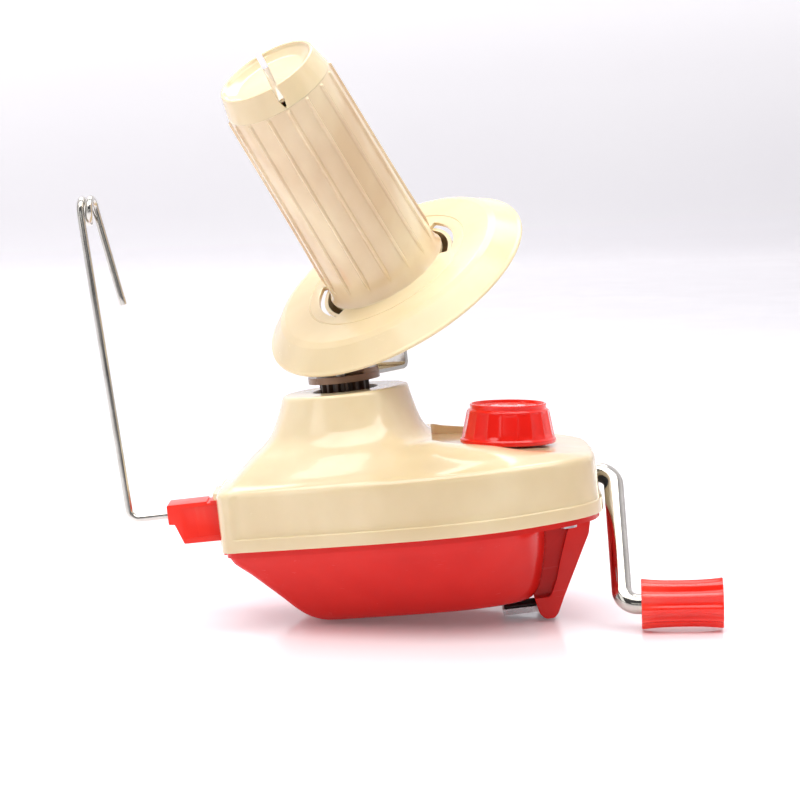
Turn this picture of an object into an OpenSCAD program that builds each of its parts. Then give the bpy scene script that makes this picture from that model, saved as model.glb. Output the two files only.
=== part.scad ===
// Hand-cranked yarn ball winder with table clamp.
// Frame: Z up, +X towards the crank, -Y the front. Z = 0 is the flat underside that sits
// on a table, and the spindle axis is X = 0, Y = 0. Millimetres.

/* [Spindle and cone] */
// Lean of the cone axis from the spindle axis, degrees
cone_tilt = 32; // [31.5:0.25:32]
// Diameter of the flange disc under the cone
flange_d = 115.2; // [113:0.2:116]
// Length of the cone from flange to the rim of its cap
cone_len = 99; // [92:1:104]
// Number of ribs around the cone
cone_ribs = 16; // [12:2:20]
// Width of the yarn slit across the cap
slit_w = 2.5; // [2:0.1:3]

/* [Crank] */
// Diameter of the crank rod
rod_d = 8; // [7.6:0.1:8]
// Diameter of the crank grip at its ends
grip_d = 20.4; // [18:0.2:21]
// Length of the crank grip
grip_len = 31.6; // [30:0.2:34]
// Splay of the grip pin from the shaft's direction, degrees
pin_splay = 6.4; // [0:0.4:8]

/* [Clamp] */
// Diameter of the clamp knob at its foot
knob_d = 38.2; // [34:0.2:39]
// Height of the clamp knob
knob_h = 16.4; // [15:0.2:17]
// Number of flutes around the knob
knob_flutes = 18; // [14:1:20]

/* [Yarn guide] */
// Diameter of the guide wire
wire_d = 3; // [2.6:0.1:3]
// Height of the top of the guide eye above the table face
eye_z = 178.4; // [174:0.2:180]

/* [Housing] */
// Wall thickness of the cover
wall = 2.0; // [1.8:0.1:2.2]

/* [Hidden] */
$fn = 64;
e = 0.01;
rod_r = rod_d / 2;
crank_z = 45;
neck_r = 24.6;
neck_z = 90;
rim_z = 33.5;
apex_z = 183;
lean_az = 225;
sun_teeth = 12;
ring_teeth = 43;
pinion_teeth = 15;
drive_teeth = 48;
mesh_s = 72;                                  // distance from the apex where the bevel pair is measured
pitch_ang_sum = cone_tilt;
ring_ang = atan2(sin(pitch_ang_sum), sun_teeth / ring_teeth + cos(pitch_ang_sum));
sun_ang = pitch_ang_sum - ring_ang;
drive_R = 30;
pinion_R = drive_R * pinion_teeth / drive_teeth;
clamp_x = 62;
clamp_y = -9;
clamp_z = 61.5;
clamp_tilt = 6;
pivot_x = -55.2;
pivot_r = 1.8;
grip_y = -40;
grip_z = -2.4;
arm_R = sqrt(grip_y * grip_y + (crank_z - grip_z) * (crank_z - grip_z));
arm_phi = atan2(-grip_y, crank_z - grip_z);
grip_x0 = 105.6;
cap_s = 57 - cone_len;                        // the cap's rim, measured down the axis from the apex

cream = [0.93, 0.86, 0.68];
red = [0.87, 0.18, 0.15];
brown = [0.42, 0.29, 0.2];
steel = [0.75, 0.75, 0.77];
dark = [0.2, 0.2, 0.21];

// ---- helper functions ----
// linear interpolation in a short table of [x, y] pairs
function tab(t, x) = x <= t[0][0] ? t[0][1] : x >= t[len(t) - 1][0] ? t[len(t) - 1][1] :
    [for (i = [0 : len(t) - 2]) if (x >= t[i][0] && x < t[i + 1][0])
        t[i][1] + (t[i + 1][1] - t[i][1]) * (x - t[i][0]) / (t[i + 1][0] - t[i][0])][0];
// Catmull-Rom point between b and c
function cr(a, b, c, d, u) = 0.5 * ((2 * b) + (c - a) * u + (2 * a - 5 * b + 4 * c - d) * u * u
    + (3 * b - a - 3 * c + d) * u * u * u);
function flip(p) = [p[0], -p[1]];
// one half outline (y >= 0, left to right) opened into a closed smooth loop, counter-clockwise
function loop(h, sub) =
    let (n = len(h),
         full = concat([for (i = [0 : n - 1]) flip(h[i])], [for (i = [n - 2 : -1 : 1]) h[i]]),
         m = len(full))
    [for (i = [0 : m - 1]) for (k = [0 : sub - 1])
        cr(full[(i + m - 1) % m], full[i], full[(i + 1) % m], full[(i + 2) % m], k / sub)];
function grow(p, d) = p * (1 + d / norm(p));
function smax(a, b, k) = let (h = max(k - abs(a - b), 0) / k) max(a, b) + h * h * k / 4;

// half outlines in plan
cover_half = [[-54.4, 0], [-54.34, 6], [-54.14, 13], [-53.7, 24], [-52.2, 28.6], [-48.5, 31.2], [-34, 36.4], [-14, 43.6], [6, 50.2],
    [26, 55.2], [43, 57], [60, 55.2], [74, 50.2], [85, 44.2], [91.8, 36], [94.6, 25], [95.3, 13], [95.46, 6.5], [95.5, 0]];
tub_half = [[-53, 0], [-52.96, 6], [-52.8, 13], [-52.4, 23.4], [-51.2, 27.8], [-47.4, 30.2], [-33, 35.4], [-13, 42.4], [6, 48.6],
    [24, 52.6], [40, 53.4], [54, 50.6], [64, 44.6], [70, 36], [72.2, 25], [72.8, 13], [72.96, 6.5], [73, 0]];
flare_tab = [[0, 90], [0.03, 88.8], [0.07, 85.6], [0.164, 79.2], [0.243, 75], [0.356, 71.4], [0.514, 67.8],
    [0.697, 63.2], [0.861, 58.8], [1, 55.8]];
ridge_tab = [[-30, 55.8], [-12, 58.5], [4, 63.5], [18, 67], [32, 68.8], [37, 67.6], [44, 66.3], [55, 64.3], [65, 61.8],
    [80, 58.9], [88, 56.9], [94, 54.9], [95.5, 54]];
ridge_y_tab = [[-30, 20], [0, 28], [20, 31], [44, 33.5], [80, 36], [90, 27], [95.5, 10]];
crease_tab = [[-54, 55.8], [60, 55.6], [95.5, 53.6]];
function seat_z(x) = clamp_z - tan(clamp_tilt) * (x - clamp_x);
function top_z(x, y, rr, ro, wy) =
    let (az = atan2(abs(y), x), ln = tab([[0, 17], [45, 22], [90, ro - neck_r], [180, ro - neck_r]], az),
         q = (rr - neck_r) / ln, za = tab(flare_tab, q),
         zc = tab(crease_tab, x), zr = tab(ridge_tab, x), yr = tab(ridge_y_tab, x),
         s = min(1, max(0, (wy - abs(y)) / max(1, wy - yr))),
         zb = zc + (zr - zc) * sin(90 * s))
    min(neck_z, smax(max(za, zc), zb, 3));
half_w_tab = [for (p = cover_half) if (p[0] > -54 && p[0] < 95.5) p];
function width_at(x) = tab(half_w_tab, x);

// levels of the tub: z, left x, right x, width factor
tub_levels = [[33.5, -53, 73, 1], [30.5, -52.6, 73, 0.985], [23, -45.4, 72.6, 0.87], [12, -34.5, 70.6, 0.71],
    [5, -27.6, 68.8, 0.61], [2, -23, 66.6, 0.565], [0.5, -18.6, 64.6, 0.53], [0, -15, 62.6, 0.5]];
tub_loop = loop(tub_half, 2);
function lvl(l) = [for (p = tub_loop) let (f = (p[0] + 53) / 126) [l[1] + f * (l[2] - l[1]), p[1] * l[3], l[0]]];
function lvl_in(k) = [for (p = tub_loop) let (q = grow(p, -2.3), f = (q[0] + 50.7) / 121.4)
    [k[1] + f * (k[2] - k[1]), q[1] * k[3], k[0]]];
cover_loop = loop(cover_half, 2);
function skin_z(q, rr, ro) = top_z(q[0], q[1], rr, ro, max(abs(q[1]), width_at(q[0])));
function outer(t) = [for (p = cover_loop) let (ro = norm(p), rr = neck_r + t * (ro - neck_r), q = p / ro * rr)
    [q[0], q[1], skin_z(q, rr, ro)]];
function inner(t) = [for (p = cover_loop) let (ro = norm(p), rr = neck_r + t * (ro - neck_r), q = p / ro * rr,
    g = p / ro * (rr - wall), cutz = (q[0] > 26 && abs(q[1]) < 36) ? seat_z(q[0]) - 0.2 : 200)
    [g[0], g[1], min(skin_z(q, rr, ro), cutz) - wall]];
function wallring(z, g) = [for (p = cover_loop) let (q = grow(p, g)) [q[0], q[1], z]];
function creasering(dz, g) = [for (p = cover_loop) let (q = grow(p, g)) [q[0], q[1], tab(crease_tab, p[0]) + dz]];
function neckring(r, z) = [for (p = cover_loop) let (d = p / norm(p)) [d[0] * r, d[1] * r, z]];

// a shell or solid from rings of equal point counts, first and last ring closed flat
module rings(rs) {
    n = len(rs[0]);
    m = len(rs);
    polyhedron(points = [for (r = rs) for (p = r) p],
        faces = concat([[for (i = [n - 1 : -1 : 0]) i]],
            [for (k = [0 : m - 2]) for (i = [0 : n - 1]) [k * n + i, k * n + (i + 1) % n, (k + 1) * n + i]],
            [for (k = [0 : m - 2]) for (i = [0 : n - 1])
                [k * n + (i + 1) % n, (k + 1) * n + (i + 1) % n, (k + 1) * n + i]],
            [[for (i = [0 : n - 1]) (m - 1) * n + i]]), convexity = 8);
}

module in_cone() { translate([0, 0, apex_z]) rotate([0, 0, lean_az]) rotate([0, cone_tilt, 0]) children(); }
module in_strap() { rotate([0, 0, lean_az - 180]) children(); }
module in_clamp() { translate([clamp_x, clamp_y, clamp_z]) rotate([0, clamp_tilt, 0]) children(); }
module in_crank() { translate([0, 0, crank_z]) rotate([-arm_phi, 0, 0]) children(); }
module tube(r1, r2, h) { difference() { cylinder(r = r2, h = h); translate([0, 0, -1]) cylinder(r = r1, h = h + 2); } }
// a straight trapezoidal gear profile
function gear_pts(n, rr, rt, wr, wt, ph) = [for (i = [0 : n - 1]) for (k = [0 : 3])
    let (a = ph + 360 / n * i, r = (k == 0 || k == 3) ? rr : rt,
         w = (k == 0 || k == 3) ? wr : wt, s = (k < 2) ? -1 : 1, b = s * asin(w / 2 / r))
    [r * cos(a + b), r * sin(a + b)]];

screw_xy = [[-33, 9], [-33, -9], [81, 37.6], [81, -37.6]];

// ---- housing ----
module lower_housing() color(red) {
    difference() {
        union() {
            rings([for (l = tub_levels) lvl(l)]);
            // flange that the cover stands on, closed under its right end
            translate([0, 0, 31.3]) linear_extrude(2.2) polygon([for (p = cover_loop) grow(p, -0.6)]);
            // leg that bears on the table edge and guides the jaw
            translate([0, clamp_y + 13, 0]) rotate([90, 0, 0]) linear_extrude(26)
                polygon([[66, 31.5], [91, 31.5], [89.3, 24], [76.9, 0], [74.2, -5.6], [72.6, -7.4], [70.4, -8],
                    [68, -7.2], [66.8, -5.4], [66, 4]]);
            // tab below the yarn guide that steadies the foot of its pivot
            translate([-55.7, -6, 29.6]) cube([4, 12, 5.2]);
        }
        // hollow inside, in one straight-sided stage per level
        rings([for (k = [[33.6, -50.6, 70.6, 1], [23.4, -42.9, 70.2, 0.86], [12, -31.9, 68.2, 0.69], [5, -24.9, 66.4, 0.58],
            [2.4, -20, 63.4, 0.53]]) lvl_in(k)]);
        // hollow beside the leg, front and back
        for (y = [clamp_y - 14, clamp_y + 9.6]) translate([0, y + 4.4, 0]) rotate([90, 0, 0]) linear_extrude(4.4)
            polygon([[73.2, 31.3], [81.2, 31.3], [78.6, 25.4], [73.2, 9.6], [71.9, 12], [73, 23]]);
        // channel for the jaw: slot along the clamp axis, open to the left below the table face
        in_clamp() translate([12.6, -8.5, -72]) cube([4.8, 17, 60]);
        in_clamp() translate([7, -8.5, -51]) cube([7, 17, 39]);
        translate([60, clamp_y - 8.5, -10]) cube([13.2, 17, 10]);
        // pivot hole and screw holes
        translate([pivot_x, 0, 28]) cylinder(r = pivot_r, h = 10, $fn = 32);
        for (p = screw_xy) translate([p[0], p[1], -1]) cylinder(r = 1.9, h = 50, $fn = 24);
        for (p = [screw_xy[0], screw_xy[1]]) translate([p[0], p[1], -1]) cylinder(r = 3.9, h = 23, $fn = 24);
    }
    // post boss
    difference() {
        translate([0, 0, 1.8]) cylinder(r = 6.6, h = 64.7);
        translate([0, 0, 5]) cylinder(r = 3, h = 70, $fn = 32);
    }
    // ribs that stiffen the boss
    for (s = [-1, 1]) translate([-1.2, s > 0 ? 6 : -18, 1.8]) cube([2.4, 12, 14]);
    translate([-18, -1.2, 1.8]) cube([12, 2.4, 22]);
    // pillars for the two left cover screws
    difference() {
        intersection() {
            rings([for (l = tub_levels) lvl(l)]);
            for (p = [screw_xy[0], screw_xy[1]]) translate([p[0], p[1], 4]) cylinder(r = 5.3, h = 29.5, $fn = 48);
        }
        for (p = [screw_xy[0], screw_xy[1]]) translate([p[0], p[1], -1]) {
            cylinder(r = 1.9, h = 50, $fn = 24);
            cylinder(r = 3.9, h = 23, $fn = 24);
        }
    }
    // saddle for the crank bearing
    difference() {
        translate([21, -9, 1.8]) cube([9, 18, 32.2]);
        translate([20, -5, -1]) cube([4, 10, 30]);
    }
}

module upper_cover() color(cream) {
    difference() {
        union() {
            difference() {
                rings(concat([neckring(neck_r - 0.8, neck_z)], [neckring(neck_r, neck_z - 0.5)],
                    [for (t = [0.04, 0.09, 0.15, 0.23, 0.33, 0.45, 0.58, 0.7, 0.8, 0.89, 0.96]) outer(t)],
                    [creasering(-0.6, -0.2), creasering(-2, 0.1), wallring(38.9, 0.3), wallring(38.4, 1.1),
                     wallring(rim_z, 1.2), wallring(rim_z, -1.4), creasering(-4, -wall)],
                    [for (t = [0.93, 0.8, 0.65, 0.5, 0.35, 0.22, 0.12]) inner(t)],
                    [neckring(neck_r - wall, neck_z - wall - 1.6), neckring(neck_r - wall - 2, neck_z - wall)]));
                // seat for the clamp knob, square to the screw and bounded by the neck
                difference() {
                    in_clamp() translate([-30.5, 0, 0]) linear_extrude(30)
                        polygon([[0, -22], [4, -22.8], [44, -26], [52, -24], [56, -12], [56, 30], [52, 42], [44, 44],
                            [4, 40.8], [0, 40]]);
                    cylinder(r = 32, h = 120);
                }
            }
            // lip over the yarn guide
            translate([-56.9, -13.5, 53]) rotate([0, 0, 0]) cube([6, 27, 2.4]);
            translate([pivot_x + 1, 0, 52.8]) cylinder(r = 2.6, h = 3);
            // collar that carries the clamp screw
            in_clamp() translate([0, 0, -5]) cylinder(r = 7, h = 4.9);
            // bosses for the four cover screws
            for (p = screw_xy) translate([p[0], p[1], rim_z]) cylinder(r = 3.6, h = p[0] < 0 ? 35 : 23);
        }
        // neck bore, screw bore, crank bush hole, guide pocket, pivot hole, screw pilots
        translate([0, 0, 70]) cylinder(r = 13, h = 30);
        in_clamp() translate([0, 0, -10]) cylinder(r = 3.3, h = 20, $fn = 32);
        translate([80, 0, crank_z]) rotate([0, 90, 0]) cylinder(r = 7, h = 30);
        translate([-70, -13, 30]) cube([25, 26, 22.7]);
        translate([pivot_x, 0, 40]) cylinder(r = pivot_r, h = 14.4, $fn = 32);
        for (p = screw_xy) translate([p[0], p[1], 30]) cylinder(r = 1.25, h = 18, $fn = 24);
    }
}

module cover_screw(i) color(steel) {
    p = screw_xy[i];
    z0 = p[0] < 0 ? 22 : 31.3;
    translate([p[0], p[1], z0 - 1.6]) difference() {
        union() { cylinder(r = 3.2, h = 1.6, $fn = 32); cylinder(r = 1.25, h = p[0] < 0 ? 24 : 14, $fn = 24); }
        for (a = [0, 90]) rotate([0, 0, a]) translate([-2, -0.4, -1]) cube([4, 0.8, 1.8]);
    }
}
module cover_screw_1() cover_screw(0);
module cover_screw_2() cover_screw(1);
module cover_screw_3() cover_screw(2);
module cover_screw_4() cover_screw(3);

module center_post() color(steel) {
    translate([0, 0, 5]) cylinder(r = 3, h = 101);
}
module thrust_washer() color(steel) translate([0, 0, 66.5]) tube(3, 6.4, 1.2);
module sun_gear() color(brown) difference() {
    translate([0, 0, 98.8]) linear_extrude(height = 4.9, scale = (apex_z - 103.7) / (apex_z - 98.8))
        polygon(gear_pts(sun_teeth, 8.5, 11.05, 2.5, 1.05, 45));
    translate([0, 0, 90]) cylinder(r = 3, h = 30, $fn = 32);
}
module post_clip() color(steel) translate([0, 0, 103.8]) tube(3, 5, 0.9);
module bearing_block() color(cream) difference() {
    union() {
        translate([21.4, -8.4, 34]) cube([8.2, 16.8, 12]);
        translate([21.4, 0, crank_z]) rotate([0, 90, 0]) cylinder(r = 8.4, h = 8.2);
    }
    translate([10, 0, crank_z]) rotate([0, 90, 0]) cylinder(r = rod_r + 0.05, h = 30);
}
module crank_bush() color(dark) difference() {
    translate([87.4, 0, crank_z]) rotate([0, 90, 0]) cylinder(r = 7, h = 8);
    translate([70, 0, crank_z]) rotate([0, 90, 0]) cylinder(r = rod_r + 0.05, h = 40);
}
module guide_pivot_pin() color(cream) translate([pivot_x, 0, 32.4]) cylinder(r = pivot_r, h = 22, $fn = 32);

// ---- crank ----
// built in a frame turned so that the arm hangs along -Z
arm_top = 102.6;                               // where the shaft's and the arm's centre lines cross
arm_foot = 98.4;
arm_lean = atan2(arm_top - arm_foot, arm_R);
arm_bend = 6.6;
arm_cut = arm_bend * tan((90 + arm_lean) / 2);
foot_turn = 90 + arm_lean - pin_splay;
foot_cut = arm_bend * tan(foot_turn / 2);
foot_cx = arm_foot + foot_cut * cos(pin_splay) + arm_bend * sin(pin_splay);
foot_cz = -arm_R - foot_cut * sin(pin_splay) + arm_bend * cos(pin_splay);
grip_u = grip_x0 - arm_foot;                   // start of the grip, measured along the pin
// centre line of the two bends and the arm: x, z and direction
arm_path = concat([[arm_top - arm_cut - 1, 0, 1, 0]],
    [for (i = [0 : 8]) let (t = 90 - (90 + arm_lean) * i / 8)
        [arm_top - arm_cut + arm_bend * cos(t), arm_bend * (sin(t) - 1), sin(t), -cos(t)]],
    [for (i = [0 : 8]) let (t = -180 - arm_lean + foot_turn * i / 8)
        [foot_cx + arm_bend * cos(t), foot_cz + arm_bend * sin(t), -sin(t), cos(t)]],
    [[arm_foot + (foot_cut + 1) * cos(pin_splay), -arm_R - (foot_cut + 1) * sin(pin_splay), cos(pin_splay), -sin(pin_splay)]]);
// frame of the grip pin: z along the pin from the foot of the arm
module in_pin() { in_crank() translate([arm_foot, 0, -arm_R]) rotate([0, 90 + pin_splay, 0]) children(); }
module crank_arm() color(steel) {
    in_crank() difference() {
        rotate([0, 90, 0]) translate([0, 0, 12]) cylinder(r = rod_r, h = arm_top - arm_cut - 12);
        translate([17.4, 0, -12]) cylinder(r = 1, h = 24, $fn = 24);
    }
    in_crank() rings([for (q = arm_path) [for (k = [0 : 31]) let (a = -k * 11.25)
        [q[0] - (rod_r - 0.01) * sin(a) * q[3], (rod_r - 0.01) * cos(a), q[1] + (rod_r - 0.01) * sin(a) * q[2]]]]);
    in_pin() translate([0, 0, foot_cut]) cylinder(r = rod_r, h = grip_u + grip_len - 4.4 - foot_cut);
}
module drive_gear() color(brown) in_crank() rotate([arm_phi, 0, 0]) {
    difference() {
        rotate([0, 90, 0]) union() {
            translate([0, 0, 11.2]) cylinder(r = 32.4, h = 2.8);
            translate([0, 0, 11.2]) cylinder(r = 8.6, h = 9.4);
        }
        rotate([0, 90, 0]) cylinder(r = rod_r, h = 40, $fn = 32);
        for (a = [30 : 60 : 330]) rotate([a, 0, 0]) translate([5, 0, 18]) rotate([0, 90, 0]) cylinder(r = 5.6, h = 12);
        // cross hole for the gear pin
        rotate([-arm_phi, 0, 0]) translate([17.4, 0, -12]) cylinder(r = 1, h = 24, $fn = 24);
    }
    for (i = [0 : drive_teeth - 1]) rotate([i * 360 / drive_teeth, 0, 0])
        translate([0, 0, 28]) linear_extrude(4)
            polygon([[8.75, -0.45], [8.75, 0.45], [9.4, 0.72], [11.3, 1.15], [11.3, -1.15], [9.4, -0.72]]);
}
module gear_pin() color(steel) in_crank() translate([17.4, 0, -9.6]) cylinder(r = 1, h = 19.2, $fn = 24);
module crank_collar() color(steel) in_crank() difference() {
    rotate([0, 90, 0]) translate([0, 0, 30]) cylinder(r = 6.4, h = 4);
    rotate([0, 90, 0]) cylinder(r = rod_r, h = 60, $fn = 32);
}
module crank_grip() color(red) in_pin() difference() {
    translate([0, 0, grip_u]) cylinder(r = grip_d / 2, h = grip_len);
    // shallow waist
    translate([0, 0, grip_u + grip_len / 2]) rotate_extrude()
        polygon([[grip_d / 2 - 0.7, -7], [grip_d / 2 + 1, -13], [grip_d / 2 + 1, 13], [grip_d / 2 - 0.7, 7]]);
    // flutes
    for (i = [0 : 11]) rotate([0, 0, 15 + i * 30]) translate([grip_d / 2 + 0.9, 0, grip_u - 1])
        cylinder(r = 2, h = grip_len + 2, $fn = 24);
    translate([0, 0, grip_u - 1]) cylinder(r = rod_r + 0.05, h = grip_len + 2);
    translate([0, 0, grip_u + grip_len - 6.6]) cylinder(r = 6.6, h = 8);
}
module grip_retainer() color(steel) in_pin() translate([0, 0, grip_u + grip_len - 6.3])
    tube(rod_r, 6.2, 1.2);

// ---- rotor ----
module spindle_pinion() color(brown) difference() {
    union() {
        translate([0, 0, 68]) linear_extrude(25.5) polygon(gear_pts(pinion_teeth, 8, 10, 1.9, 1.15, 360 / pinion_teeth / 2));
    }
    translate([0, 0, 60]) cylinder(r = 3.05, h = 60, $fn = 32);
}
module rotor_disc() color(brown) difference() {
    translate([0, 0, 93.5]) cylinder(r = 14.4, h = 2.6);
    translate([0, 0, 90]) cylinder(r = 3.05, h = 10, $fn = 32);
    in_strap() translate([-8.2, -9.15, 94.4]) cube([40, 18.3, 5]);
    in_strap() for (y = [-6, 6]) translate([4, y, 90]) cylinder(r = 1.25, h = 10, $fn = 24);
}
module spindle_bracket() color(steel) difference() {
    in_strap() translate([0, 9, 0]) rotate([90, 0, 0]) linear_extrude(18) {
        t = 1.6;
        u0 = 16.2;
        polygon([[-8, 94.4], [25.4, 94.4], [27.2, 95.2], [28, 97], [28, 109.6],
            [strap_x(77.8, -9.5), strap_z(77.8, -9.5)], [strap_x(76.2, -9.5), strap_z(76.2, -9.5)],
            [26.4, 110.15], [26.4, 97.4], [26, 96.4], [25, 96], [-8, 96]]);
    }
    translate([0, 0, 90]) cylinder(r = 3.05, h = 10, $fn = 32);
    in_strap() for (y = [-6, 6]) translate([4, y, 90]) cylinder(r = 1.25, h = 10, $fn = 24);
    in_cone() translate([0, 0, -85]) cylinder(r = 3, h = 20, $fn = 32);
}
// a point of the strap's flange: distance s down the cone axis, u across it towards the post
function strap_x(s, u) = s * sin(cone_tilt) - u * cos(cone_tilt);
function strap_z(s, u) = apex_z - s * cos(cone_tilt) - u * sin(cone_tilt);
module rotor_cap() color(brown) difference() {
    intersection() {
        translate([0, 0, 96.1]) cylinder(r = 14.2, h = 1.9);
        in_strap() translate([-2, -20, 90]) cube([30, 40, 20]);
    }
    translate([0, 0, 90]) cylinder(r = 3.3, h = 10, $fn = 32);
    in_strap() for (y = [-6, 6]) translate([4, y, 90]) {
        cylinder(r = 1.25, h = 10, $fn = 24);
        translate([0, 0, 7.2]) cylinder(r = 2.45, h = 3, $fn = 24);
    }
}
module rotor_screw(y) color(steel) in_strap() translate([4, y, 93.6]) difference() {
    union() { cylinder(r = 1.25, h = 4, $fn = 24); translate([0, 0, 3.6]) cylinder(r = 2.4, h = 0.8, $fn = 24); }
    translate([-1.6, -0.3, 4.1]) cube([3.2, 0.6, 1]);
}
module rotor_screw_1() rotor_screw(-6);
module rotor_screw_2() rotor_screw(6);
module tilt_axle() color(steel) in_cone() union() {
    translate([0, 0, -80.2]) cylinder(r = 4.6, h = 2.3, $fn = 32);
    translate([0, 0, -78]) cylinder(r = 3, h = 36, $fn = 32);
}
module axle_clip() color(steel) in_cone() translate([0, 0, -45.4]) tube(3, 5.2, 1.2);

// ---- cone ----
module flange_disc() color(cream) in_cone() difference() {
    rotate_extrude($fn = 128) polygon([[8, -57], [46.5, -57], [48.2, -57.3], [49.2, -58], [flange_d / 2 - 1.2, -64.6],
        [flange_d / 2 - 0.1, -65], [flange_d / 2, -65.7], [flange_d / 2 - 0.9, -66], [48, -58.95],
        [46.5, -58.6], [8, -58.6]]);
    // thin turned line on the plate
    translate([0, 0, -57.25]) tube(35.1, 35.5, 1);
    // two curved windows beside the sleeve
    for (s = [0, 180]) rotate([0, 0, s]) for (g = [1]) intersection() {
        translate([0, 0, -62]) tube(25.7, 30.8, 10);
        translate([0, 0, -62]) linear_extrude(10) polygon([[0, 0], [60 * cos(win_az - 32), 60 * sin(win_az - 32)],
            [60 * cos(win_az), 60 * sin(win_az)], [60 * cos(win_az + 32), 60 * sin(win_az + 32)]]);
    }
}
// azimuth of the cap's slit and of the windows about the cone axis
slit_az = 49.7;
win_az = slit_az + 90;
module cone_sleeve() color(cream) in_cone() {
    top = -cap_s - 9.8;
    difference() {
        union() {
            rotate_extrude() polygon([[20, -57], [25.4, -57], [24.6, -55.6], [24, -52], [22.5, top], [20, top]]);
            for (i = [0 : cone_ribs - 1]) rotate([0, 0, slit_az + i * 360 / cone_ribs])
                translate([0, 1.1, 0]) rotate([90, 0, 0]) linear_extrude(2.2)
                    polygon([[20.5, -55], [24.15, -53], [24.55, -46], [23.1, top - 1], [22.4, top - 0.05], [20.5, top - 0.05]]);
        }
        rotate_extrude() polygon([[0, -60], [22.6, -60], [20.6, top + 1], [0, top + 1]]);
    }
}
module cone_cap() color(cream) in_cone() {
    top = -cap_s;
    difference() {
        rotate_extrude() polygon([[0, top - 2.8], [17.2, top - 2.4], [18.6, top - 0.6], [19.3, top - 0.1], [20.1, top],
            [20.6, top - 0.5], [22.6, top - 9.4], [22.6, top - 9.8], [20.4, top - 9.8], [19.6, top - 5.4], [0, top - 5]]);
        rotate([0, 0, slit_az]) translate([-30, -slit_w / 2, top - 9.2]) cube([60, slit_w, 20]);
        rotate([0, 0, slit_az]) translate([-17, -slit_w / 2, top - 12]) cube([34, slit_w, 20]);
    }
    // web that ties the two halves under the slit
    translate([0, 0, top - 9.8]) difference() { tube(15.5, 21, 1.2); }
    for (s = [-1, 1]) rotate([0, 0, slit_az]) translate([-4, s * 9 - 1, top - 9.8]) cube([8, 2, 5.4]);
}
module ring_gear() color(cream) in_cone() difference() {
    union() {
        // bevel teeth that roll round the fixed sun gear
        translate([0, 0, -75.2]) linear_extrude(height = 4.7, scale = 70.5 / 75.2)
            polygon(gear_pts(ring_teeth, 33.8, 36.4, 2.7, 1.2, 360 / ring_teeth / 2));
        translate([0, 0, -75.2]) cylinder(r = 6.5, h = 29.4);
        translate([0, 0, -71.5]) cylinder(r = 29.2, h = 12.9);
    }
    translate([0, 0, -80]) cylinder(r = 3.05, h = 50, $fn = 32);
    // hollow above and below the web
    translate([0, 0, -70]) tube(6.5, 27.6, 20);
    translate([0, 0, -80]) tube(6.5, 28.4, 7.4);
}

// ---- clamp ----
module clamp_knob() color(red) in_clamp() difference() {
    rotate_extrude($fn = 96) polygon([[0, 0.8], [knob_d / 2 - 0.4, 0.8], [knob_d / 2, 1.2], [knob_d / 2, 2.4], [knob_d / 2 - 0.5, 3],
        [16.3, knob_h - 2.6], [15.6, knob_h - 2], [15.2, knob_h - 1.9], [15.3, knob_h - 0.3], [15, knob_h], [14.4, knob_h],
        [14, knob_h - 0.3], [13.9, knob_h - 2.2], [0, knob_h - 2.2]]);
    // hollow underneath, round a central boss
    translate([0, 0, 0]) difference() {
        cylinder(r1 = 17, r2 = 13.6, h = knob_h - 4.6);
        cylinder(r = 6.4, h = 30);
    }
    cylinder(r = 3, h = 9.5, $fn = 32);
    for (i = [0 : knob_flutes - 1]) rotate([0, 0, (i + 0.5) * 360 / knob_flutes])
        translate([19.35, 0, 2.6]) rotate([0, -12.4, 0]) cylinder(r = 1.5, h = knob_h - 4.9, $fn = 24);
}
module knob_disc() color(red) in_clamp() translate([0, 0, knob_h - 2.2]) rotate_extrude($fn = 96)
    polygon([[0, 0], [12.6, 0], [12.6, 0.9], [12.3, 1.2], [10.8, 1.2], [10.5, 0.8], [7.2, 0.8], [6.9, 1.3], [0, 1.5]]);
module clamp_washer() color(steel) in_clamp() tube(3.3, 6.2, 0.6);
module clamp_screw() color(steel) in_clamp() union() {
    translate([0, 0, -55]) cylinder(r = 3, h = 64.4, $fn = 32);
}
module screw_collar() color(steel) in_clamp() translate([0, 0, -8.2]) tube(3, 6, 2.8);
module screw_clip() color(steel) in_clamp() translate([0, 0, -54.8]) tube(3, 5, 1.2);
module clamp_jaw() color(steel) difference() {
    union() {
        // upper flange on the screw
        in_clamp() translate([-7, -7, -28.6]) cube([24.2 - 1.2, 14, 2]);
        // web inside the leg
        in_clamp() translate([14, -7, -64.4]) cube([2, 14, 37.8]);
        // lower flange under the table face
        translate([52.4, clamp_y - 7.5, -5.6]) cube([19, 15, 2.4]);
        translate([52.4, clamp_y - 7.5, -5.6]) cube([2, 15, 2.4]);
    }
    in_clamp() translate([0, 0, -40]) cylinder(r = 3.05, h = 20, $fn = 32);
    translate([0, 0, -20 - 5.6]) cube([200, 100, 40], center = true);
}
module jaw_nut() color(steel) in_clamp() translate([0, 0, -26.6]) difference() {
    cylinder(r = 5.6, h = 4, $fn = 6);
    translate([0, 0, -1]) cylinder(r = 3.05, h = 8, $fn = 32);
}
module jaw_pad() color(dark) translate([53, clamp_y - 6.5, -3.2]) cube([13, 13, 1.1]);

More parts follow.
